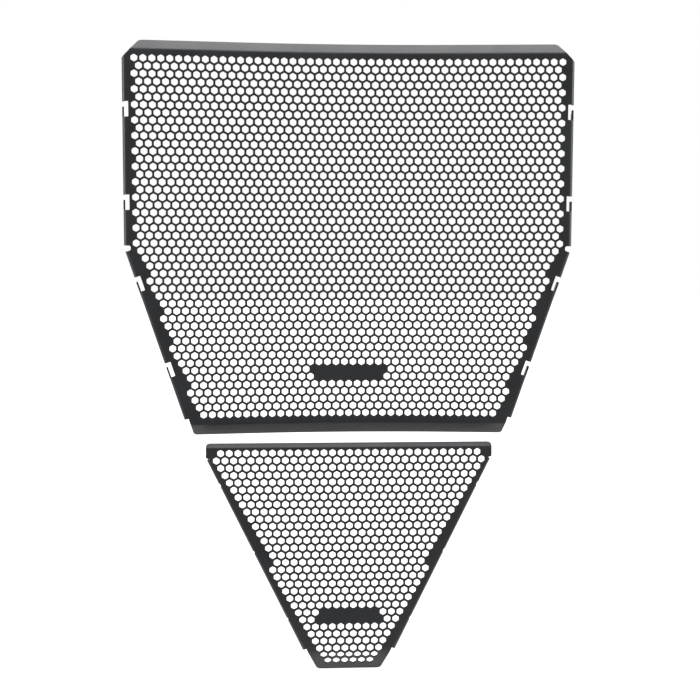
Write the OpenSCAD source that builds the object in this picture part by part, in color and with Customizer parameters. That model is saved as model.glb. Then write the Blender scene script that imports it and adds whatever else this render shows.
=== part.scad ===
// Motorcycle radiator guard: two folded, perforated sheets.
// The upper guard covers the radiator and the lower one the oil cooler below it.
// X runs to the viewer's right, Y to the rear and Z up. The guards face -Y.

/* [Sheet] */
// Thickness of the aluminium sheet
sheet = 1.5; // [1:0.1:2]
// Inside radius of every fold
fold_r = 2; // [1:0.5:3]
// Height of the clear gap between the two guards
guard_gap = 6; // [2:1:40]

/* [Honeycomb] */
// Distance between the centres of two neighbouring cells
cell_pitch = 20; // [18:1:40]
// Width of the rib that is left between two cells
rib = 3; // [2:0.5:6]
// Plain border between a side fold and the nearest cells
side_border = 4.5; // [2:0.5:12]
// Plain border between a lip's fold and the nearest cells
lip_border = 3; // [2:0.5:12]

/* [Upper guard] */
// Width over the side flanges, measured along the sheet
upper_w = 388; // [360:2:420]
// Height of the face between its top and bottom folds
upper_h = 320; // [300:2:340]
// Height of the upright stretch of each side, below the top fold
upright_h = 168; // [150:2:190]
// Lean of the slanted stretch of each side from the vertical
upper_slant = 18.5; // [14:0.5:22]
// Radius of the curved middle, at the front skin
curve_r = 790; // [400:10:1500]
// Angle by which each flat wing turns forward
wing_turn = 6.5; // [3:0.5:7]
// Length of the lip along the top edge, past its fold
upper_top_lip = 11; // [6:0.5:16]
// Length of the lip along the bottom edge, past its fold
upper_bottom_lip = 12.5; // [6:0.5:16]
// Angle by which both lips are folded back
upper_lip_turn = 42; // [30:1:60]
// Width of the cut across each top corner
corner_cut_w = 9; // [5:0.5:14]
// Height of the cut across each top corner
corner_cut_h = 8; // [5:0.5:14]

/* [Lower guard] */
// Width over the side flanges at their top ends
lower_w = 248; // [220:2:280]
// Height of the face between its top and bottom folds
lower_h = 182; // [165:1:195]
// Lean of the sides from the vertical
lower_slant = 26; // [22:0.5:28]
// Distance from the top fold down to the top ends of the side flanges
lower_flange_top = 8; // [6:0.5:14]
// Length of the lip along the top edge, past its fold
lower_top_lip = 4; // [2:0.5:12]
// Angle by which the top lip is folded back
lower_top_turn = 50; // [30:1:70]
// Length of the lip along the bottom edge, past its fold
lower_bottom_lip = 17; // [12:0.5:20]
// Angle by which the bottom lip is folded back
lower_bottom_turn = 22; // [10:1:40]

/* [Side flanges and hooks] */
// Depth of the side flanges, from the front of the face
flange_d = 12; // [9:0.5:16]
// Length of each hook slot along its fold
slot_l = 13; // [10:0.5:18]
// Width of the slot beside the hook's tongue
slot_w = 3.5; // [2.5:0.25:4.5]
// Height of the slot's mouth, which opens through the flange
slot_mouth = 4.5; // [3:0.25:6]
// Distance between the two slots of one flange
slot_spacing = 78.5; // [60:0.5:82]
// Distance from the top end of an upright flange to its first slot
upright_first_slot = 36; // [20:1:50]
// Distance from the top end of a slanted flange to its first slot
slanted_first_slot = 26; // [15:1:40]
// Height of the notches that part the flanges
notch_h = 4.5; // [3:0.5:8]
// Reach of those notches from the outer edge into the face
notch_w = 6.5; // [5:0.5:9]

/* [Blank plate areas] */
// Width of the unpierced area low on each guard
blank_w = 62; // [40:2:90]
// Height of the unpierced area
blank_h = 12; // [8:1:24]
// Height of its centre above the bottom fold of the upper guard
upper_blank_z = 44; // [30:1:80]
// Height of its centre above the bottom fold of the lower guard
lower_blank_z = 33; // [25:1:60]

/* [Hidden] */

$fn = 48;
cut_over = 10;                               // how far a cutting body runs past the sheet
fold_out = fold_r + sheet;                   // outside radius of a fold
cell_w = cell_pitch - rib;                   // width of a cell across its flats
cell_r = cell_w / sqrt(3);                   // half height of a cell, point to point
row_pitch = cell_pitch * sqrt(3) / 2;
root = 2;                                    // how far a side fold's root lies in the face
fold_steps = 5;                              // flats that each lip's fold is drawn with
middle_lap = 0.5;                            // turn over which the two halves overlap in the middle
curve_w = 2 * curve_r * wing_turn * PI / 180;  // width of the curved middle, along the sheet

function mid(a, b) = (a + b) / 2;

// Height and depth that a lip adds to the face, at the outer skin of its fold
function lip_rise(len, turn) = fold_out * sin(turn) + len * cos(turn);
function lip_back(len, turn) = fold_out - fold_r * cos(turn) + len * sin(turn);

// Face heights, measured from the top fold of each guard
upper_top = lip_rise(upper_top_lip, upper_lip_turn);
upper_drop = upper_h + lip_rise(upper_bottom_lip, upper_lip_turn);
lower_top = lip_rise(lower_top_lip, lower_top_turn);
lower_drop = lower_h + lip_rise(lower_bottom_lip, lower_bottom_turn);

// The lower guard's face lies flush with the front edges of the upper guard's wings
wing_w = (upper_w - curve_w) / 2;
wing_flat = wing_w - fold_out;
wing_reach = curve_r * (1 - cos(wing_turn)) + wing_flat * sin(wing_turn)
    + fold_out * (1 - cos(wing_turn));

// The origin is the centre of the box around both guards
rear_y = lip_back(max(upper_top_lip, upper_bottom_lip), upper_lip_turn);
lower_z = -upper_drop - guard_gap - lower_top;
mid_y = mid(-wing_reach, rear_y);
mid_z = mid(upper_top, lower_z - lower_drop);

// One sector of a fold, about the origin, from angle a0 to angle a1
module fold_sector(a0, a1) {
    reach = 2 * fold_out;
    intersection() {
        difference() {
            circle(fold_out);
            circle(fold_r);
        }
        polygon([[0, 0], reach * [cos(a0), sin(a0)],
            reach * [cos(mid(a0, a1)), sin(mid(a0, a1))], reach * [cos(a1), sin(a1)]]);
    }
}

// One skin of a lip that starts at [0, 0] and folds back by turn, from its fold to its tip.
// r is the skin's radius about the fold's centre.
function lip_skin(len, turn, r) = concat(
    [for (i = [0 : fold_steps]) let (a = turn * i / fold_steps)
        [fold_out - r * cos(a), r * sin(a)]],
    [[fold_out - r * cos(turn) + len * sin(turn), r * sin(turn) + len * cos(turn)]]);
function backwards(list) = [for (i = [len(list) - 1 : -1 : 0]) list[i]];
function below(list, h) = [for (p = list) [p[0], -h - p[1]]];

// Section through a face of height h with its two lips, its top fold at the origin
module face_profile(h, top_len, top_turn, bottom_len, bottom_turn) {
    polygon(concat(
        lip_skin(top_len, top_turn, fold_out),
        backwards(lip_skin(top_len, top_turn, fold_r)),
        below(lip_skin(bottom_len, bottom_turn, fold_r), h),
        backwards(below(lip_skin(bottom_len, bottom_turn, fold_out), h))));
}

// Section through a side fold and its flange, which starts at the origin, with its root
module flange_profile() {
    translate([-root, 0]) square([root, sheet]);
    translate([0, fold_out]) fold_sector(-90, 0);
    translate([fold_r, fold_out]) square([sheet, flange_d - fold_out]);
}

// A body that cuts the sheet along a flat outline, straight through its depth
module through_sheet() {
    translate([0, flange_d + cut_over, 0]) rotate([90, 0, 0])
        linear_extrude(flange_d + 2 * cut_over) children();
}

// A side flange that hangs down from the origin along its fold's outer line
module side_flange(len) {
    translate([-fold_out, 0, -len]) linear_extrude(len) flange_profile();
}

// Hook slot, cut beside the fold's outer line and open through the flange at its mouth
module hook_slot() {
    translate([-sheet - slot_w, -cut_over, -slot_l])
        cube([slot_w, fold_out + cut_over, slot_l]);
    translate([-sheet - slot_w, -cut_over, -slot_mouth])
        cube([slot_w + sheet + cut_over, flange_d + 2 * cut_over, slot_mouth]);
}

module hook_slots(first) {
    for (i = [0, 1]) translate([0, 0, -first - i * slot_spacing]) hook_slot();
}

// One cell, cut straight through the sheet
module cell() {
    translate([0, sheet + 2, 0]) rotate([90, 0, 0])
        rotate(30) cylinder(r = cell_r, h = sheet + 4, $fn = 6);
}

// Cell centres: rows from z_top down to z_low, each row as wide as the outline lets it be.
// half_at gives the half width that is free for cells at a height z.
function row_count(z_top, z_low) = floor((z_top - z_low) / row_pitch) + 1;
function cell_row(half, odd) = let (first = odd ? cell_pitch / 2 : 0,
    n = floor((half - first) / cell_pitch))
    n < 0 ? [] : [for (i = [-n - (odd ? 1 : 0) : n]) first + i * cell_pitch];
function in_blank(x, z, blank_z) = abs(x) < blank_w / 2 && abs(z - blank_z) < blank_h / 2;

// Free half width of the upper guard at height z
function upper_half(z) = upper_w / 2 - fold_out - side_border - cell_w / 2
    - max(0, -upright_h - (z - cell_r / 2)) * tan(upper_slant);
// Free half width of the lower guard at height z
function lower_half(z) = lower_w / 2 - fold_out - side_border - cell_w / 2
    - max(0, -lower_flange_top - (z - cell_r / 2)) * tan(lower_slant);

upper_rows = row_count(-lip_border - cell_r, -upper_h + lip_border + cell_r);
upper_row_0 = -upper_h / 2 + (upper_rows - 1) * row_pitch / 2;
lower_rows = row_count(-lip_border - cell_r, -lower_h + lip_border + cell_r);
lower_row_0 = -lip_border - cell_r;

upper_cells = [for (r = [0 : upper_rows - 1]) let (z = upper_row_0 - r * row_pitch)
    for (x = cell_row(upper_half(z), r % 2 == 0))
        if (!in_blank(x, z, -upper_h + upper_blank_z)) [x, z]];
lower_cells = [for (r = [0 : lower_rows - 1]) let (z = lower_row_0 - r * row_pitch)
    for (x = cell_row(lower_half(z), r % 2 == 1))
        if (!in_blank(x, z, -lower_h + lower_blank_z)) [x, z]];

// Carries children to the place on the bent face at the developed distance s.
// The bend is about the Z axis, which stands in front of the guard here.
module on_upper(s) {
    turn = min(abs(s), curve_w / 2) / curve_r * 180 / PI;
    past = max(0, abs(s) - curve_w / 2);
    mirror([s < 0 ? 1 : 0, 0, 0])
        rotate([0, 0, -turn]) translate([past, curve_r, 0]) children();
}

// The stretch of the bent face between two directions seen from the bend's axis
module curved_stretch(from, to) {
    rotate_extrude(angle = to - from, start = from, $fn = 360)
        translate([curve_r, 0]) upper_profile();
}

// Developed distances at which one strip of cells ends and the next begins
strip_edges = [-upper_w, -curve_w / 2, -cell_pitch / 4, cell_pitch / 4, curve_w / 2, upper_w];

module upper_profile() {
    face_profile(upper_h, upper_top_lip, upper_lip_turn, upper_bottom_lip, upper_lip_turn);
}

// Outline of one wing inside its side folds, from the end of the curved middle outwards
module wing_outline() {
    top_z = upper_top + cut_over;
    low_z = -upper_drop - cut_over;
    bend_z = -upright_h + fold_out * tan(upper_slant / 2);
    polygon([[0, low_z],
        [wing_flat - (bend_z - low_z) * tan(upper_slant), low_z],
        [wing_flat, bend_z],
        [wing_flat, top_z],
        [0, top_z]]);
}

// What the cut across a top corner takes away
module corner_cut() {
    run = corner_cut_w / corner_cut_h;
    far = upper_top + cut_over;
    polygon([[wing_w - corner_cut_w - far * run, far],
        [wing_w + corner_cut_w, far],
        [wing_w + corner_cut_w, -2 * corner_cut_h],
        [wing_w, -corner_cut_h]]);
}

// Both flanges of a wing, with roots that lie in the face
module wing_flanges() {
    slanted_l = (upper_h - upright_h) / cos(upper_slant) - fold_out - notch_h / 2;
    translate([wing_w, 0, 0]) side_flange(upright_h - notch_h / 2);
    translate([wing_w, 0, -upright_h]) rotate([0, upper_slant, 0])
        translate([0, 0, -notch_h / 2]) side_flange(slanted_l);
}

module wing_hooks() {
    translate([wing_w, 0, -corner_cut_h]) hook_slots(upright_first_slot);
    translate([wing_w, 0, -upright_h]) rotate([0, upper_slant, 0])
        hook_slots(slanted_first_slot);
}

// One wing with its lips and flanges, in the frame of its flat face
module wing() {
    difference() {
        union() {
            intersection() {
                rotate([90, 0, 90]) linear_extrude(wing_w) upper_profile();
                through_sheet() wing_outline();
            }
            wing_flanges();
        }
        through_sheet() corner_cut();
        wing_hooks();
        translate([wing_w - notch_w, -cut_over, -upright_h - notch_h / 2])
            cube([notch_w + cut_over, flange_d + 2 * cut_over, notch_h]);
    }
}

// The folded sheet before its cells are cut
module upper_sheet() {
    for (side = [0, 1]) mirror([side, 0, 0]) rotate([0, 0, -wing_turn]) {
        curved_stretch(90, 90 + wing_turn + middle_lap);
        translate([0, curve_r, 0]) wing();
    }
}

// The sheet with its cells, which are cut strip by strip from the left to strip n
module pierced_sheet(n) {
    difference() {
        if (n > 0) pierced_sheet(n - 1);
        else upper_sheet();
        for (c = upper_cells)
            if (c[0] >= strip_edges[n] && c[0] < strip_edges[n + 1])
                translate([0, 0, c[1]]) on_upper(c[0]) cell();
    }
}

module upper_guard() {
    color("#34373a") translate([0, -curve_r, 0]) pierced_sheet(len(strip_edges) - 2);
}

module lower_outline() {
    half = lower_w / 2;
    in_x = half - fold_out / cos(lower_slant);
    low_z = -lower_drop - cut_over;
    low_x = in_x - (-lower_flange_top - low_z) * tan(lower_slant);
    polygon([[-low_x, low_z], [low_x, low_z], [in_x, -lower_flange_top],
        [half, -lower_flange_top], [half, lower_top + cut_over],
        [-half, lower_top + cut_over], [-half, -lower_flange_top], [-in_x, -lower_flange_top]]);
}

module lower_guard() {
    flange_l = (lower_h - lower_flange_top) / cos(lower_slant) - fold_out;
    color("#34373a") translate([0, -wing_reach, lower_z]) difference() {
        union() {
            intersection() {
                translate([-lower_w / 2, 0, 0]) rotate([90, 0, 90]) linear_extrude(lower_w)
                    face_profile(lower_h, lower_top_lip, lower_top_turn,
                        lower_bottom_lip, lower_bottom_turn);
                through_sheet() lower_outline();
            }
            for (side = [0, 1]) mirror([side, 0, 0])
                translate([lower_w / 2, 0, -lower_flange_top]) rotate([0, lower_slant, 0])
                    side_flange(flange_l);
        }
        for (c = lower_cells) translate([c[0], 0, c[1]]) cell();
    }
}

translate([0, -mid_y, -mid_z]) upper_guard();
translate([0, -mid_y, -mid_z]) lower_guard();
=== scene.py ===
# %% [markdown]
# # A motorcycle radiator guard in two folded sheets
# The guard is a pair of thin aluminium sheets, punched with a fine honeycomb and coated
# satin black. A workshop cuts each one flat, holes and slots and all, and then folds its
# lips and side flanges in a press. This file works in the same order: first the flat
# blank, then the honeycomb, then the folds, and last the coat.

# %% Load the fixed frame
import bpy
import math
from mathutils import Matrix, Vector
from mathutils.geometry import delaunay_2d_cdt


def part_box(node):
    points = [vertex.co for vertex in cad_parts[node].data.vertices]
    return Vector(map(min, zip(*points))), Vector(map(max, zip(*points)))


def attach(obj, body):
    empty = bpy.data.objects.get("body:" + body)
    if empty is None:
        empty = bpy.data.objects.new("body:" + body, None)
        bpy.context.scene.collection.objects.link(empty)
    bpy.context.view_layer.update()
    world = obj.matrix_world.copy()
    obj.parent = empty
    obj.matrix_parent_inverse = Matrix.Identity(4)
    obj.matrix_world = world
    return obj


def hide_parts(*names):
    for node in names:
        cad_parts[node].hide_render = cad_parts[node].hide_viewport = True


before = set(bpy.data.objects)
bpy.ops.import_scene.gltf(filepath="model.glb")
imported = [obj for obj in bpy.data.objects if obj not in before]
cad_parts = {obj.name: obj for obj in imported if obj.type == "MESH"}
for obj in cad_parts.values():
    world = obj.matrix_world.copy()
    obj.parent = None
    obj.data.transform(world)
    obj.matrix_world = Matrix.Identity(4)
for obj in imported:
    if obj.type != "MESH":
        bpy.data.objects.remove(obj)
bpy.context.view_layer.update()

# %% [markdown]
# ## Camera
# The guard was pictured from a little over a metre away, a little from above and a
# little from the left. The place of the camera comes from the hole pattern: the pitch is
# the same everywhere on the real sheet, so the way in which it changes across the
# picture gives distance and tilt.

# %% Camera
LENS_PX = 1300.0                      # focal length in pixels of a 700 pixel wide picture
CAMERA_AT = (-0.07077, -1.13501, 0.11628)
CAMERA_YAW, CAMERA_PITCH, CAMERA_ROLL = (math.radians(a) for a in (-3.612, -5.408, -0.151))

camera_data = bpy.data.cameras.new("guard_camera")
camera_data.sensor_width = 36.0
camera_data.lens = LENS_PX / 700.0 * 36.0
camera = bpy.data.objects.new("guard_camera", camera_data)
bpy.context.scene.collection.objects.link(camera)
aim = (Matrix.Rotation(CAMERA_YAW, 4, "Z") @ Matrix.Rotation(CAMERA_PITCH, 4, "X")
       @ Matrix.Rotation(CAMERA_ROLL, 4, "Y") @ Matrix.Rotation(math.radians(90), 4, "X"))
camera.matrix_world = Matrix.Translation(CAMERA_AT) @ aim
bpy.context.scene.camera = camera
print("lens %.1f mm" % camera_data.lens)

# %% [markdown]
# ## Sizes
# All lengths are in metres. The thickness of the sheet, its folds and the place of each
# guard are those of the frame's solids. The honeycomb is much finer than the one in the
# solids: 7.5 mm from hole to hole, which leaves ribs of less than two millimetres.

# %% Sizes of the sheet
SHEET = 0.0015
FOLD_OUT = 0.0035                     # outside radius of every fold
FLANGE = 0.012                        # depth of a side flange, from the front of the face
PITCH = 0.0075                        # from hole to hole
HOLE = 0.0057                         # across the flats of a hole
SIDE_ARC = FOLD_OUT * math.pi / 2     # length of a side fold along its outer skin
SIDE_FLAT = FLANGE - FOLD_OUT
SIDE_END = SIDE_ARC + SIDE_FLAT       # edge of a side flange on the flat blank
SIDE_STEPS = 5                        # strips that make up a side fold
PAST_EDGE = 0.03                      # reach of a cut that runs off the edge of the sheet
STEP = 0.0075                         # longest stretch of an edge that bends with the face
print("ribs %.1f mm wide, flanges %.0f mm deep" % ((PITCH - HOLE) * 1000, FLANGE * 1000))

# %% [markdown]
# ## The flat blank as a plane mesh
# A blank is easiest to think of as a drawing: an outline, a few cuts, and the lines on
# which it will be folded. Blender's constrained Delaunay triangulation takes just such a
# drawing. It keeps every line as a row of edges, so the folds can later turn on real
# edges, and the triangles that lie outside the metal are simply left out.

# %% Drawing helpers
def rounded(points, radii, steps=4):
    """A polygon whose corners are rounded, each with its own radius."""
    result = []
    for i, here in enumerate(points):
        r = radii.get(i, 0.0)
        if r == 0.0:
            result.append(tuple(here))
            continue
        p, a, b = Vector(here), Vector(points[i - 1]), Vector(points[(i + 1) % len(points)])
        to_a, to_b = (a - p).normalized(), (b - p).normalized()
        half = to_a.angle(to_b) / 2
        cut = r / math.tan(half)
        centre = p + (to_a + to_b).normalized() * (r / math.sin(half))
        start, end = p + to_a * cut - centre, p + to_b * cut - centre
        turn = start.angle_signed(end)
        for k in range(steps + 1):
            spin = Matrix.Rotation(-turn * k / steps, 2)
            result.append(tuple(centre + spin @ start))
    return result


def mirrored(points):
    """Right half of an outline, from the top down, and its mirror image."""
    return list(points) + [(-x, y) for x, y in reversed(points)]


def stretched(a, b):
    """Points from a to b, none further apart than one step, with b left out."""
    a, b = Vector(a), Vector(b)
    n = max(1, math.ceil((b - a).length / STEP))
    return [tuple(a.lerp(b, k / n)) for k in range(n)]


def inside(point, polygon):
    """Whether a point lies in a polygon, by counting the edges to its right."""
    x, y = point
    odd = False
    for i, (x1, y1) in enumerate(polygon):
        x0, y0 = polygon[i - 1]
        if (y0 > y) != (y1 > y) and x < x0 + (y - y0) * (x1 - x0) / (y1 - y0):
            odd = not odd
    return odd


# %% [markdown]
# The blank has a wide field that holds the honeycomb and a rim around it that holds the
# folds. The rim is made here, and the field is only outlined: Geometry Nodes fill it
# with its holes. Both share the same points on the border between them, so they grow
# together into one sheet.

# %% Rim of a blank
def rim_and_field(name, metal, cuts, field, folds):
    """Flat mesh of the rim, with the border of the field as a loose loop of edges."""
    points, edges = [], []

    def add_loop(polygon):
        first = len(points)
        for i, a in enumerate(polygon):
            points.extend(Vector(p) for p in stretched(a, polygon[(i + 1) % len(polygon)]))
        count = len(points) - first
        edges.extend((first + k, first + (k + 1) % count) for k in range(count))
        return [tuple(p) for p in points[first:]]

    border = add_loop(field)
    for polygon in metal + cuts:
        add_loop(polygon)
    for a, b in folds:
        line = stretched(a, b) + [b]
        first = len(points)
        points.extend(Vector(p) for p in line)
        edges.extend((first + k, first + k + 1) for k in range(len(line) - 1))

    verts, _, faces, _, _, _ = delaunay_2d_cdt(points, edges, [], 0, 1e-7)
    kept = []
    for face in faces:
        middle = sum((verts[i] for i in face), Vector((0, 0))) / len(face)
        if any(inside(middle, p) for p in metal) and not inside(middle, field) \
                and not any(inside(middle, p) for p in cuts):
            kept.append(face)
    used = sorted({i for face in kept for i in face})
    place = {old: new for new, old in enumerate(used)}
    loop = len(used)
    mesh = bpy.data.meshes.new(name)
    mesh.from_pydata(
        [(verts[i].x, verts[i].y, 0.0) for i in used] + [(x, y, 0.0) for x, y in border],
        [(loop + k, loop + (k + 1) % len(border)) for k in range(len(border))],
        [[place[i] for i in face] for face in kept])
    marks = mesh.attributes.new("field_border", "BOOLEAN", "POINT")
    for k in range(len(border)):
        marks.data[loop + k].value = True
    print(name, "rim faces:", len(kept), "border points:", len(border))
    return mesh


# %% [markdown]
# ## Side flanges on the flat blank
# Each side flange starts at a tangent line, where the flat face ends and the fold
# begins. Seen from that line, a point of the blank has a distance along it and a
# distance past it. The hook slots, the mouths that open them and the flange itself are
# plain rectangles in those two distances.

# %% One side flange
class SideLine:
    """The tangent line of a side fold: start at its top end, lean from the upright."""

    def __init__(self, start, lean, length):
        self.start, self.length = Vector(start), length
        self.down = Vector((-math.sin(lean), -math.cos(lean)))
        self.out = Vector((math.cos(lean), -math.sin(lean)))

    def at(self, along, past):
        """The point of the blank at two distances: down the line and out from it."""
        return tuple(self.start + self.down * along + self.out * past)

    def seen(self, point):
        """The two distances of a point, the other way round from at()."""
        offset = Vector(point) - self.start
        return offset.dot(self.down), offset.dot(self.out)

    def patch(self, along_0, along_1, past_0, past_1):
        """A rectangle in the two distances."""
        return [self.at(along_0, past_0), self.at(along_1, past_0),
                self.at(along_1, past_1), self.at(along_0, past_1)]

    def hook(self, along, slot=0.013, mouth=0.0045, inner=-0.0015):
        """A slot beside the fold and the mouth at its upper end."""
        slot_shape = self.patch(along, along + slot, inner, SIDE_ARC)
        return [rounded(slot_shape, {1: 0.0008, 2: 0.0008}),
                self.patch(along, along + mouth, inner, PAST_EDGE)]

    def fold_lines(self, first=0):
        """The lines that part the strips of the fold, on both sides of the blank."""
        lines = []
        for k in range(first, SIDE_STEPS + 1):
            past = SIDE_ARC * k / SIDE_STEPS
            a, b = self.at(0.0, past), self.at(self.length, past)
            lines += [(a, b), ((-a[0], a[1]), (-b[0], b[1]))]
        return lines


def both_sides(polygons):
    """Polygons of the right half together with their mirror images."""
    return polygons + [[(-x, y) for x, y in reversed(p)] for p in polygons]


print("side fold %.2f mm long in %d strips" % (SIDE_ARC * 1000, SIDE_STEPS))


# %% [markdown]
# ## Upper blank
# The upper guard stands upright for the top half of its sides and then slants in to a
# narrower foot. Its top corners are cut across, its lips run along top and bottom, and
# a small notch parts the two flanges of each side, because a flange can't follow the
# bend in its fold line. Heights count down from the top fold.

# %% Upper blank, sizes and face
UP_H, UP_W = 0.3187, 0.388
UP_TURN = math.radians(42)            # both lips are folded back this far
UP_TOP_LIP, UP_BOTTOM_LIP = 0.0095, 0.0125
UP_ARC = FOLD_OUT * UP_TURN
LIP_STRIPS = 3                        # strips that make up the fold of a lip
UP_SLANT = math.radians(18.5)
UPRIGHT = 0.1667                      # height of the upright stretch of each side
CUT_W, CUT_H = 0.0060, 0.0064         # the cut across each top corner
LIP_CORNER, FLANGE_CORNER = 0.0035, 0.002
NOTCH_HALF = 0.00225                  # half the height of the notch between the flanges
SLANTED_LENGTH = 0.1568
HOOK_SPACING = 0.0785
up_flat = UP_W / 2 - FOLD_OUT         # half width between the tangent lines
up_bend = -UPRIGHT + FOLD_OUT * math.tan(UP_SLANT / 2)


def up_side_at(height):
    """Half width of the face along the slanted tangent line."""
    return up_flat - (up_bend - height) * math.tan(UP_SLANT)


arc_rise = FOLD_OUT * math.sin(UP_TURN)
top_tip = UP_ARC + UP_TOP_LIP
bottom_tip = -UP_H - UP_ARC - UP_BOTTOM_LIP
top_reach = arc_rise + UP_TOP_LIP * math.cos(UP_TURN)
bottom_reach = arc_rise + UP_BOTTOM_LIP * math.cos(UP_TURN)
cut_slope = CUT_W / CUT_H
upper_face = mirrored([
    (UP_W / 2 - CUT_W - top_reach * cut_slope, top_tip),
    (UP_W / 2 - CUT_W - arc_rise * cut_slope, UP_ARC),
    (UP_W / 2 - CUT_W, 0.0),
    (up_flat, -CUT_H + FOLD_OUT / cut_slope),
    (up_flat, up_bend),
    (up_side_at(-UP_H), -UP_H),
    (up_side_at(-UP_H - arc_rise), -UP_H - UP_ARC),
    (up_side_at(-UP_H - bottom_reach), bottom_tip)])
last = len(upper_face) - 1
upper_face = rounded(upper_face, {0: 0.005, 7: LIP_CORNER, last - 7: LIP_CORNER, last: 0.005})
print("upper face: %d points, %.1f mm from tip to tip"
      % (len(upper_face), (top_tip - bottom_tip) * 1000))

# %% [markdown]
# The top end of the upright flange continues the cut across the corner: once the fold
# is made, its points lie on the same slope. The flanges carry two hook slots each, by
# which the guard is held, and the field keeps a narrow border free along every fold.

# %% Upper blank, flanges and cuts
upright_end = UPRIGHT - NOTCH_HALF
upright_line = SideLine((up_flat, 0.0), 0.0, upright_end)
slanted_line = SideLine((up_flat, up_bend), UP_SLANT, SLANTED_LENGTH)
flange_top = [upright_line.at(
    CUT_H - (FOLD_OUT - FOLD_OUT * math.sin(math.pi / 2 * k / SIDE_STEPS)) / cut_slope,
    SIDE_ARC * k / SIDE_STEPS) for k in range(SIDE_STEPS + 1)]
upright_flange = flange_top + rounded(
    [upright_line.at(CUT_H, SIDE_END), upright_line.at(upright_end, SIDE_END),
     upright_line.at(upright_end, 0.0)], {0: FLANGE_CORNER, 1: FLANGE_CORNER})
slanted_flange = rounded(slanted_line.patch(0.0028, SLANTED_LENGTH, 0.0, SIDE_END),
                         {2: FLANGE_CORNER, 3: FLANGE_CORNER})
notch_top, notch_low, notch_in, notch_out = (-UPRIGHT + NOTCH_HALF, -UPRIGHT - NOTCH_HALF,
                                             0.1884, 0.230)
upper_cuts = [rounded([(notch_in, notch_top), (notch_in, notch_low), (notch_out, notch_low),
                       (notch_out, notch_top)], {0: 0.0018, 1: 0.0018})]
for line, first in ((upright_line, 0.0427), (slanted_line, 0.026)):
    for start in (first, first + HOOK_SPACING):
        upper_cuts += line.hook(start)

field_side = 0.188
slanted_field = [(up_side_at(y) - 0.0028, y) for y in (-0.3132, -0.3171)]
upper_field = mirrored([(0.1845, -0.0018), (field_side, -0.0043), (field_side, -0.1682)]
                       + slanted_field)
upper_folds = []
for k in range(LIP_STRIPS + 1):
    rise = UP_ARC * k / LIP_STRIPS
    upper_folds += [((-0.2, rise), (0.2, rise)),
                    ((-0.15, -UP_H - rise), (0.15, -UP_H - rise))]
upper_folds += upright_line.fold_lines() + slanted_line.fold_lines()
upper_blank = rim_and_field("upper_blank", [upper_face] + both_sides(
    [upright_flange, slanted_flange]), both_sides(upper_cuts), upper_field, upper_folds)

# %% [markdown]
# ## Lower blank
# The lower guard is a narrow wedge. It has a short lip on top, slanted flanges, and a
# longer lip below that is only bent back a little. Two rows of holes lie on that lip,
# so the field of the honeycomb runs down over its fold.

# %% Lower blank
LO_H, LO_W = 0.182, 0.2505
LO_SLANT = math.radians(26)
LO_TOP_LIP, LO_TOP_TURN = 0.004, math.radians(50)
LO_BOTTOM_LIP, LO_BOTTOM_TURN = 0.017, math.radians(22)
LO_FLANGE_TOP = 0.008                 # from the top fold down to the flanges
LO_FLANGE_LENGTH = 0.1900
NICK = 0.0035
NICKS_AT = (0.0290, 0.0890, 0.1495)   # heights below the top fold
lo_top_arc = FOLD_OUT * LO_TOP_TURN
lo_bottom_arc = FOLD_OUT * LO_BOTTOM_TURN
lo_in = LO_W / 2 - FOLD_OUT / math.cos(LO_SLANT)


def lo_side_at(height):
    """Half width of the lower face along its slanted tangent line."""
    return lo_in + (height + LO_FLANGE_TOP) * math.tan(LO_SLANT)


lo_tip = -LO_H - lo_bottom_arc - LO_BOTTOM_LIP
lo_arc_rise = FOLD_OUT * math.sin(LO_BOTTOM_TURN)
lo_reach = lo_arc_rise + LO_BOTTOM_LIP * math.cos(LO_BOTTOM_TURN)
lower_face = mirrored([
    (LO_W / 2, lo_top_arc + LO_TOP_LIP), (LO_W / 2, -LO_FLANGE_TOP + 0.001),
    (lo_in, -LO_FLANGE_TOP - 0.0005),
    (lo_side_at(-LO_H), -LO_H),
    (lo_side_at(-LO_H - lo_arc_rise), -LO_H - lo_bottom_arc),
    (lo_side_at(-LO_H - lo_reach), lo_tip)])
last = len(lower_face) - 1
lower_face = rounded(lower_face, {0: LIP_CORNER, 5: 0.004, last - 5: 0.004, last: LIP_CORNER})
lower_line = SideLine((lo_in, -LO_FLANGE_TOP), LO_SLANT, LO_FLANGE_LENGTH)
lower_flange = rounded(lower_line.patch(0.0005, LO_FLANGE_LENGTH, 0.0, SIDE_END),
                       {2: FLANGE_CORNER, 3: FLANGE_CORNER})
lower_field = mirrored([
    (0.1215, 0.0010), (0.1215, -0.0068), lower_line.at(0.002, 0.0013),
    lower_line.at(0.180, 0.0013), lower_line.at(0.184, -0.0015),
    (lo_side_at(-LO_H) - 0.0022, -LO_H),
    (lo_side_at(-LO_H - lo_reach) - 0.001, lo_tip + 0.0025)])
lower_folds = []
for k in (2, 3, 4):                   # the field of holes reaches up past the first quarter
    rise = lo_top_arc * k / 4
    lower_folds.append(((-0.13, rise), (0.13, rise)))
lower_folds += lower_line.fold_lines(first=2)
lower_nicks = []
for below_fold in NICKS_AT:
    along = (below_fold - LO_FLANGE_TOP) / math.cos(LO_SLANT)
    lower_nicks.append(lower_line.patch(along, along + NICK, SIDE_ARC * 0.5, PAST_EDGE))
lower_blank = rim_and_field("lower_blank", [lower_face] + both_sides([lower_flange]),
                            both_sides(lower_nicks), lower_field, lower_folds)

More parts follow.
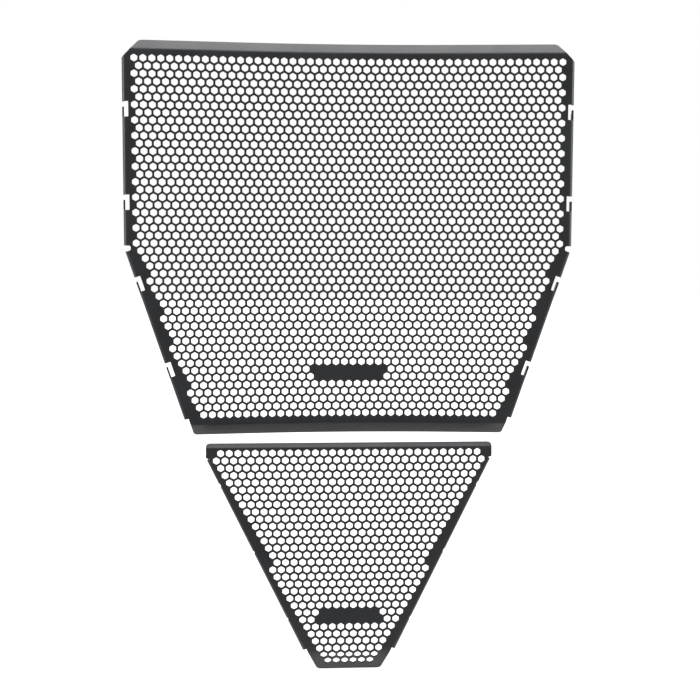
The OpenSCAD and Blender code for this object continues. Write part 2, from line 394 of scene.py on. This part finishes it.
# %% [markdown]
# ## Honeycomb with Geometry Nodes
# The holes follow a rule: rows one under the other, every second row moved by half a
# pitch, each row as wide as the sheet allows, and a small patch without holes low on the
# sheet. Geometry Nodes suit such a rule well. A grid of points is shifted and trimmed,
# a six-sided curve is put on each point, and Fill Curve turns the border and all the
# hexagons into one perforated face. The same tree gives the sheet its thickness, and its
# inputs let both guards use it.

# %% Node helpers
class Tree:
    """A Geometry Nodes tree with short calls for its sockets and sums."""

    def __init__(self, name, inputs):
        self.group = bpy.data.node_groups.new(name, "GeometryNodeTree")
        face = self.group.interface
        face.new_socket("Geometry", in_out="INPUT", socket_type="NodeSocketGeometry")
        for label, kind, value in inputs:
            socket = face.new_socket(label, in_out="INPUT", socket_type=kind)
            if value is not None:
                socket.default_value = value
        face.new_socket("Geometry", in_out="OUTPUT", socket_type="NodeSocketGeometry")
        self.inputs = self.add("NodeGroupInput").outputs

    def add(self, kind, links=(), **settings):
        """A node with its settings, and its sockets linked or set."""
        node = self.group.nodes.new(kind)
        for key, value in settings.items():
            setattr(node, key, value)
        for socket, value in dict(links).items():
            self.put(node.inputs[socket], value)
        return node

    def put(self, socket, value):
        """Link a socket to another one, or give it a plain value."""
        if isinstance(value, bpy.types.NodeSocket):
            self.group.links.new(value, socket)
        elif value is not None:
            socket.default_value = value

    def sum(self, operation, a, b=None):
        """The output of one Math node."""
        node = self.group.nodes.new("ShaderNodeMath")
        node.operation = operation
        for socket, value in zip(node.inputs, (a, b)):
            self.put(socket, value)
        return node.outputs[0]

    def join(self, *parts):
        """One geometry out of several."""
        node = self.group.nodes.new("GeometryNodeJoinGeometry")
        for part in parts:
            self.group.links.new(part, node.inputs[0])
        return node.outputs[0]


print("a tree grows by add, put, sum and join")

# %% [markdown]
# The inputs hold everything in which the two guards differ: how many rows there are,
# where the first one lies, how wide a row may be on the upright and on the slanted
# stretch, and which rows keep the small patch without holes. A plain grid of points
# comes first, and every second row is then moved by half a pitch.

# %% Honeycomb tree, the shifted grid
FLOAT, WHOLE = "NodeSocketFloat", "NodeSocketInt"
tree = Tree("honeycomb_sheet", [
    ("Pitch", FLOAT, PITCH), ("Hole Width", FLOAT, HOLE), ("Corner Radius", FLOAT, 0.0007),
    ("Sheet", FLOAT, SHEET), ("Rows", WHOLE, 48), ("Columns", WHOLE, 52),
    ("First Row", FLOAT, -0.0065), ("Upright Rows", FLOAT, 25.5), ("Upright Limit", FLOAT, 24.7),
    ("Slant Limit", FLOAT, 30.9), ("Slant Step", FLOAT, 0.272), ("Blank Row", FLOAT, 41.5),
    ("Blank Limit", FLOAT, 4.2), ("Short Rows", FLOAT, 45.0),
    ("Coat", "NodeSocketMaterial", None), ("Cut Coat", "NodeSocketMaterial", None)])
given = tree.inputs
row_pitch = tree.sum("MULTIPLY", given["Pitch"], math.sqrt(3) / 2)
grid = tree.add("GeometryNodeMeshGrid", {
    "Size X": tree.sum("MULTIPLY", given["Pitch"], tree.sum("SUBTRACT", given["Columns"], 1.0)),
    "Size Y": tree.sum("MULTIPLY", row_pitch, tree.sum("SUBTRACT", given["Rows"], 1.0)),
    "Vertices X": given["Columns"], "Vertices Y": given["Rows"]})
where = tree.add("ShaderNodeSeparateXYZ", {0: tree.add("GeometryNodeInputPosition").outputs[0]})
half_tall = tree.sum("MULTIPLY", row_pitch, tree.sum(
    "MULTIPLY", tree.sum("SUBTRACT", given["Rows"], 1.0), 0.5))
row_number = tree.sum("ROUND", tree.sum(
    "DIVIDE", tree.sum("SUBTRACT", half_tall, where.outputs["Y"]), row_pitch))
odd_row = tree.sum("MODULO", row_number, 2.0)
shift = tree.add("ShaderNodeCombineXYZ", {
    "X": tree.sum("MULTIPLY", odd_row, tree.sum("MULTIPLY", given["Pitch"], 0.5)),
    "Y": tree.sum("SUBTRACT", given["First Row"], half_tall)})
shifted = tree.add("GeometryNodeSetPosition", {
    "Geometry": grid.outputs["Mesh"], "Offset": shift.outputs[0]})
print("nodes for the shifted grid:", len(tree.group.nodes))

# %% [markdown]
# The rule that trims a row reads the point's own place, so it is worked out afresh on
# the shifted points: the row's number from its height, and the number of pitches from
# the middle of the sheet. The two rows that lie two away from "Short Rows" are one hole
# shorter, which is what counting the holes of the upper guard gives.

# %% Honeycomb tree, the rule for each row
place = tree.add("ShaderNodeSeparateXYZ", {0: tree.add("GeometryNodeInputPosition").outputs[0]})
row_here = tree.sum("ROUND", tree.sum(
    "DIVIDE", tree.sum("SUBTRACT", given["First Row"], place.outputs["Y"]), row_pitch))
steps_out = tree.sum("ABSOLUTE", tree.sum("DIVIDE", place.outputs["X"], given["Pitch"]))
slant = tree.sum("SUBTRACT", given["Slant Limit"], tree.sum(
    "MULTIPLY", row_here, given["Slant Step"]))
upright = tree.sum("LESS_THAN", row_here, given["Upright Rows"])
full_limit = tree.sum("ADD", tree.sum("MULTIPLY", upright, given["Upright Limit"]), tree.sum(
    "MULTIPLY", tree.sum("SUBTRACT", 1.0, upright), slant))
from_short = tree.sum("ABSOLUTE", tree.sum("SUBTRACT", row_here, given["Short Rows"]))
is_short = tree.sum("LESS_THAN", tree.sum("ABSOLUTE", tree.sum(
    "SUBTRACT", from_short, 2.0)), 0.5)
limit = tree.sum("SUBTRACT", full_limit, is_short)
too_wide = tree.sum("GREATER_THAN", steps_out, limit)
in_blank = tree.sum("MULTIPLY",
                    tree.sum("LESS_THAN", steps_out, given["Blank Limit"]),
                    tree.sum("LESS_THAN", tree.sum("ABSOLUTE", tree.sum(
                        "SUBTRACT", row_here, given["Blank Row"])), 0.7))
left_out = tree.sum("GREATER_THAN", tree.sum("ADD", too_wide, in_blank), 0.5)
trimmed = tree.add("GeometryNodeDeleteGeometry", {
    "Geometry": shifted.outputs[0], "Selection": left_out}, domain="POINT")
print("nodes with the rule for each row:", len(tree.group.nodes))

# %% [markdown]
# A punch leaves hexagons with slightly soft corners. Fill Curve takes the border of the
# field and all the hexagons together, and leaves the hexagons open. The rim is joined to
# that face, and Extrude Mesh raises both to the thickness of the sheet. Its side faces
# are the cut edges, so they get the coat for cuts before the back is closed.

# %% Honeycomb tree, holes and thickness
WELD = 0.00002                        # points closer than this become one
circle = tree.add("GeometryNodeCurvePrimitiveCircle", {
    "Resolution": 6, "Radius": tree.sum("DIVIDE", given["Hole Width"], math.sqrt(3))})
hexagon = tree.add("GeometryNodeTransform", {
    "Geometry": circle.outputs["Curve"], "Rotation": (0.0, 0.0, math.radians(30))})
soft = tree.add("GeometryNodeFilletCurve", {
    "Curve": hexagon.outputs[0], "Radius": given["Corner Radius"], "Count": 1}, mode="POLY")
holes = tree.add("GeometryNodeInstanceOnPoints", {
    "Points": trimmed.outputs[0], "Instance": soft.outputs[0]})
real_holes = tree.add("GeometryNodeRealizeInstances", {"Geometry": holes.outputs[0]})
mark = tree.add("GeometryNodeInputNamedAttribute", {"Name": "field_border"},
                data_type="BOOLEAN")
parts = tree.add("GeometryNodeSeparateGeometry", {
    "Geometry": given["Geometry"], "Selection": mark.outputs["Attribute"]}, domain="POINT")
border = tree.add("GeometryNodeMeshToCurve", {"Mesh": parts.outputs["Selection"]})
drawing = tree.join(border.outputs[0], real_holes.outputs[0])
filled = tree.add("GeometryNodeFillCurve", {"Curve": drawing}, mode="TRIANGLES")
whole = tree.join(filled.outputs[0], parts.outputs["Inverted"])
welded = tree.add("GeometryNodeMergeByDistance", {"Geometry": whole, "Distance": WELD})
coated = tree.add("GeometryNodeSetMaterial", {
    "Geometry": welded.outputs[0], "Material": given["Coat"]})
raised = tree.add("GeometryNodeExtrudeMesh", {
    "Mesh": coated.outputs[0], "Offset": (0.0, 0.0, 1.0),
    "Offset Scale": given["Sheet"], "Individual": False}, mode="FACES")
walls = tree.add("GeometryNodeSetMaterial", {
    "Geometry": raised.outputs["Mesh"], "Selection": raised.outputs["Side"],
    "Material": given["Cut Coat"]})
turned = tree.add("GeometryNodeFlipFaces", {"Mesh": coated.outputs[0]})
solid = tree.join(walls.outputs[0], turned.outputs[0])
closed = tree.add("GeometryNodeMergeByDistance", {"Geometry": solid, "Distance": WELD})
realized = tree.add("GeometryNodeRealizeInstances", {"Geometry": closed.outputs[0]})
tree.add("NodeGroupOutput", {"Geometry": realized.outputs[0]})
print("nodes in the honeycomb tree:", len(tree.group.nodes))

# %% [markdown]
# ## Satin black coat
# Powder coat melts into a skin that is never quite flat: it has a fine orange peel, a
# fine grain and a cloudy sheen. Inside the holes it lies thin on the rough cut, so it
# hardly shines there. Noise on Object coordinates gives the peel, the grain and the
# clouds at their real scale, and they stay in place on the part from every side.

# %% Coat materials
def powder_coat(name, dark, light, rough_low, rough_high, peel, shine):
    """A coat between two greys, with a peel of the given depth and a level of shine."""
    coat = bpy.data.materials.new(name)
    coat.use_nodes = True
    nodes, links = coat.node_tree.nodes, coat.node_tree.links
    shader = next(n for n in nodes if n.type == "BSDF_PRINCIPLED")
    place = nodes.new("ShaderNodeTexCoord")

    def noise(scale, detail):
        n = nodes.new("ShaderNodeTexNoise")
        n.inputs["Scale"].default_value = scale
        n.inputs["Detail"].default_value = detail
        links.new(place.outputs["Object"], n.inputs["Vector"])
        return n.outputs["Fac"]

    # Clouds of a few centimetres, grain and peel of about a millimetre.
    clouds, grain, peel_noise = noise(28.0, 3.0), noise(900.0, 2.0), noise(1500.0, 1.0)
    tone = nodes.new("ShaderNodeValToRGB")
    tone.color_ramp.elements[0].position, tone.color_ramp.elements[1].position = 0.3, 0.72
    tone.color_ramp.elements[0].color = (*dark, 1.0)
    tone.color_ramp.elements[1].color = (*light, 1.0)
    blend = nodes.new("ShaderNodeMath")
    blend.operation = "MULTIPLY_ADD"
    blend.inputs[1].default_value = 0.45
    links.new(grain, blend.inputs[0])
    half = nodes.new("ShaderNodeMath")
    half.operation = "MULTIPLY"
    half.inputs[1].default_value = 0.55
    links.new(clouds, half.inputs[0])
    links.new(half.outputs[0], blend.inputs[2])
    links.new(blend.outputs[0], tone.inputs["Fac"])
    links.new(tone.outputs["Color"], shader.inputs["Base Color"])
    rough = nodes.new("ShaderNodeMapRange")
    rough.inputs["From Min"].default_value, rough.inputs["From Max"].default_value = 0.3, 0.7
    rough.inputs["To Min"].default_value = rough_low
    rough.inputs["To Max"].default_value = rough_high
    links.new(clouds, rough.inputs["Value"])
    links.new(rough.outputs["Result"], shader.inputs["Roughness"])
    bump = nodes.new("ShaderNodeBump")
    bump.inputs["Strength"].default_value = 0.35
    bump.inputs["Distance"].default_value = peel
    links.new(peel_noise, bump.inputs["Height"])
    links.new(bump.outputs["Normal"], shader.inputs["Normal"])
    shader.inputs["Specular IOR Level"].default_value = shine
    print("coat", name, "roughness", rough_low, "to", rough_high)
    return coat


guard_coat = powder_coat(
    "guard_coat_satin", dark=(0.0040, 0.0043, 0.0050), light=(0.0078, 0.0084, 0.0095),
    rough_low=0.36, rough_high=0.47, peel=0.00006, shine=0.148)
cut_coat = powder_coat(
    "guard_coat_cut_edge", dark=(0.006, 0.0065, 0.007), light=(0.014, 0.0145, 0.0155),
    rough_low=0.75, rough_high=0.85, peel=0.00004, shine=0.03)

# %% [markdown]
# ## Folding
# A press brake turns the sheet about a line and leaves a rounded fold. Each point of the
# flat blank has a distance past its line and a depth below the front skin, and both
# survive the fold, so the folded place is a little trigonometry. This is done on the
# finished mesh and not in the nodes, because a few lines of Python say it more plainly
# than forty Math nodes.

# %% Fold helpers
ABOVE_LINE, BELOW_LINE = 0.001, 0.0005      # a side fold reaches this far past its ends


def fold_back(past, depth, turn):
    """Reach in the face's plane and depth behind it, for a point past a fold line."""
    if past <= 0.0:
        return past, depth
    angle = min(past / FOLD_OUT, turn)
    flat = max(0.0, past - FOLD_OUT * turn)
    r = FOLD_OUT - depth
    return (r * math.sin(angle) + flat * math.cos(angle),
            FOLD_OUT - r * math.cos(angle) + flat * math.sin(angle))


def fold_side(line, x, z, depth):
    """Fold a point of the right half about a side line, if it lies past it."""
    along, past = line.seen((x, z))
    if past <= 0.0 or along < -ABOVE_LINE or along > line.length + BELOW_LINE:
        return None
    reach, behind = fold_back(past, depth, math.pi / 2)
    place = line.at(along, reach)
    return place[0], place[1], behind


def flat_to_folded(lines, height, top_turn, bottom_turn, carry):
    """A function from the flat blank to the folded sheet."""
    def move(x, z, depth):
        side = -1.0 if x < 0 else 1.0
        x = abs(x)
        for down_to, line in lines:
            if z > down_to:
                folded = fold_side(line, x, z, depth)
                if folded:
                    return carry(side, *folded)
                break
        if z > 0.0:
            reach, behind = fold_back(z, depth, top_turn)
            return carry(side, x, reach, behind)
        if z < -height:
            reach, behind = fold_back(-height - z, depth, bottom_turn)
            return carry(side, x, -height - reach, behind)
        return carry(side, x, z, depth)
    return move


print("a side flange reaches %.1f mm back" % (fold_back(SIDE_END, 0.0, math.pi / 2)[1] * 1000))

# %% [markdown]
# The upper guard is also rolled: its middle follows a wide curve, and the wings on both
# sides stay flat and come forward. The lower guard is flat and level with the front
# edges of the wings. Compared with the solids, the top fold of the upper guard lies a
# little lower, which puts its lip and its plain border at the right height in the view.

# %% Where each sheet stands
CURVE_R = 0.790
WING_TURN = math.radians(6.5)
curve_half = CURVE_R * WING_TURN
wing_reach = (CURVE_R * (1 - math.cos(WING_TURN))
              + (UP_W / 2 - curve_half - FOLD_OUT) * math.sin(WING_TURN)
              + FOLD_OUT * (1 - math.cos(WING_TURN)))
SOLID_TOP_LIP = 0.011                               # the top lip in the frame's solid
FOLD_LOWER = 0.0013                                 # top fold below the solid's
upper_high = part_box("upper_guard")[1]
lower_low, lower_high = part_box("lower_guard")
front_y = lower_low[1]                              # front skin of the lower guard
middle_y = front_y + wing_reach                     # front skin of the upper guard's middle
upper_fold_z = upper_high[2] - FOLD_LOWER - (FOLD_OUT * math.sin(UP_TURN)
                                             + SOLID_TOP_LIP * math.cos(UP_TURN))
lower_fold_z = lower_high[2] - (FOLD_OUT * math.sin(LO_TOP_TURN)
                                + LO_TOP_LIP * math.cos(LO_TOP_TURN))


def carry_upper(side, x, z, depth):
    """Roll a point of the folded upper guard about its wide curve."""
    turn = min(x, curve_half) / CURVE_R
    past = max(0.0, x - curve_half)
    r = CURVE_R + depth
    return (side * (r * math.sin(turn) + past * math.cos(turn)),
            middle_y + r * math.cos(turn) - CURVE_R - past * math.sin(turn),
            upper_fold_z + z)


def carry_lower(side, x, z, depth):
    """Set a point of the folded lower guard in its flat place."""
    return side * x, front_y + depth, lower_fold_z + z


fold_upper = flat_to_folded([(-UPRIGHT, upright_line), (-math.inf, slanted_line)],
                            UP_H, UP_TURN, UP_TURN, carry_upper)
fold_lower = flat_to_folded([(-math.inf, lower_line)],
                            LO_H, LO_TOP_TURN, LO_BOTTOM_TURN, carry_lower)
print("middle skin y %.2f mm, lower front y %.2f mm" % (middle_y * 1000, front_y * 1000))
print("top folds at z %.2f and %.2f mm" % (upper_fold_z * 1000, lower_fold_z * 1000))

# %% [markdown]
# ## From blank to guard
# The modifier's inputs are set by their identifiers before the object is evaluated.
# After that the evaluated result becomes a plain mesh. Extrude Mesh can leave a point at
# an odd height where rim and field meet, so each point is first set to the front or the
# back skin. It is then folded, and the edges that turn by more than the small steps of a
# fold are marked sharp.

# %% Make both guards
SHARP_TURN = math.radians(32)


def make_guard(name, node, blank, sizes, fold):
    """One folded guard from its flat blank, as a piece of the frame."""
    flat = bpy.data.objects.new(name + "_flat", blank)
    bpy.context.scene.collection.objects.link(flat)
    modifier = flat.modifiers.new("honeycomb", "NODES")
    modifier.node_group = tree.group
    for item in tree.group.interface.items_tree:
        if item.in_out == "INPUT" and item.name in sizes:
            modifier[item.identifier] = sizes[item.name]
    evaluated = flat.evaluated_get(bpy.context.evaluated_depsgraph_get())
    mesh = bpy.data.meshes.new_from_object(evaluated)
    flat.modifiers.remove(modifier)
    bpy.data.objects.remove(flat)
    if mesh.materials[0] is None:     # the blank's own slot, which no face uses
        mesh.materials.pop(index=0)
    for vertex in mesh.vertices:
        x, z, lift = vertex.co
        vertex.co = fold(x, z, SHEET if lift < SHEET / 8 else 0.0)
    mesh.name = name
    mesh.attributes.remove(mesh.attributes["field_border"])
    mesh.update()
    mesh.polygons.foreach_set("use_smooth", [True] * len(mesh.polygons))
    mesh.set_sharp_from_angle(angle=SHARP_TURN)
    guard = bpy.data.objects.new(name, mesh)
    bpy.context.scene.collection.objects.link(guard)
    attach(guard, "root")
    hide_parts(node)
    cut_faces = sum(1 for face in mesh.polygons if face.material_index == 1)
    print(name, "faces", len(mesh.polygons), "of which cut edges", cut_faces, "materials",
          [m.name for m in mesh.materials])
    return guard


coats = {"Coat": guard_coat, "Cut Coat": cut_coat}
lower_sizes = {
    "Rows": 30, "Columns": 33, "First Row": -0.0032, "Upright Rows": 0.5,
    "Upright Limit": 15.2, "Slant Limit": 16.23, "Slant Step": 0.45, "Blank Row": 22.5,
    "Blank Limit": 3.7, "Short Rows": 100.0}
make_guard("upper_guard_sheet", "upper_guard", upper_blank, coats, fold_upper)
make_guard("lower_guard_sheet", "lower_guard", lower_blank, {**coats, **lower_sizes}, fold_lower)

# %% [markdown]
# ## Floor and light
# The picture is a plain studio shot, white all round. The floor glows by itself and
# takes little from the lamps, so it stays only just white: a brighter one would eat into
# the thin ribs in front of it.

# %% Floor
FLOOR_HALF = 6.0
floor_z = lower_low[2] - 0.0004
floor_paint = bpy.data.materials.new("floor_pale")
floor_paint.use_nodes = True
shader = next(n for n in floor_paint.node_tree.nodes if n.type == "BSDF_PRINCIPLED")
shader.inputs["Base Color"].default_value = (0.16, 0.16, 0.16, 1.0)
shader.inputs["Roughness"].default_value = 0.25
shader.inputs["Emission Color"].default_value = (1.0, 1.0, 1.0, 1.0)
shader.inputs["Emission Strength"].default_value = 0.82
floor_mesh = bpy.data.meshes.new("studio_floor")
floor_mesh.from_pydata(
    [(x * FLOOR_HALF, y * FLOOR_HALF, floor_z) for x, y in ((-1, -1), (1, -1), (1, 1), (-1, 1))],
    [], [(0, 1, 2, 3)])
floor = bpy.data.objects.new("studio_floor", floor_mesh)
floor_mesh.materials.append(floor_paint)
bpy.context.scene.collection.objects.link(floor)
print("floor at z = %.2f mm" % (floor_z * 1000))

# %% [markdown]
# A broad soft light above makes the top lips read lighter than the face. A narrow one on
# each side catches the side folds. The bottom lip faces down, so it mirrors the table:
# a weak strip of light that lies there, unseen by the camera, lifts it from the shadow.

# %% Lights and backdrop
CENTRE = (0.0, 0.0, 0.0)


def soft_light(name, at, target, size, power):
    """A rectangular area light that looks from one point to another."""
    data = bpy.data.lights.new(name, "AREA")
    data.shape, data.size, data.size_y, data.energy = "RECTANGLE", size[0], size[1], power
    light = bpy.data.objects.new(name, data)
    direction = Vector(target) - Vector(at)
    light.matrix_world = (Matrix.Translation(at)
                          @ direction.to_track_quat("-Z", "Y").to_matrix().to_4x4())
    bpy.context.scene.collection.objects.link(light)
    return light


soft_light("overhead_softbox", (0.0, -0.25, 1.6), CENTRE, (1.8, 1.4), 100.0)
soft_light("left_softbox", (-1.7, -0.35, 0.5), CENTRE, (0.5, 1.4), 68.0)
soft_light("right_softbox", (1.7, -0.3, 0.5), CENTRE, (0.5, 1.4), 62.0)
table_glow = soft_light("table_glow", (0.0, 0.03, floor_z + 0.001), (0.0, 0.03, 1.0),
                        (0.7, 0.14), 0.8)
table_glow.visible_camera = False

world = bpy.data.worlds.new("studio_white")
world.use_nodes = True
background = next(n for n in world.node_tree.nodes if n.type == "BACKGROUND")
background.inputs["Color"].default_value = (1.0, 1.0, 1.0, 1.0)
background.inputs["Strength"].default_value = 1.0
bpy.context.scene.world = world
bpy.context.scene.view_settings.view_transform = "Standard"
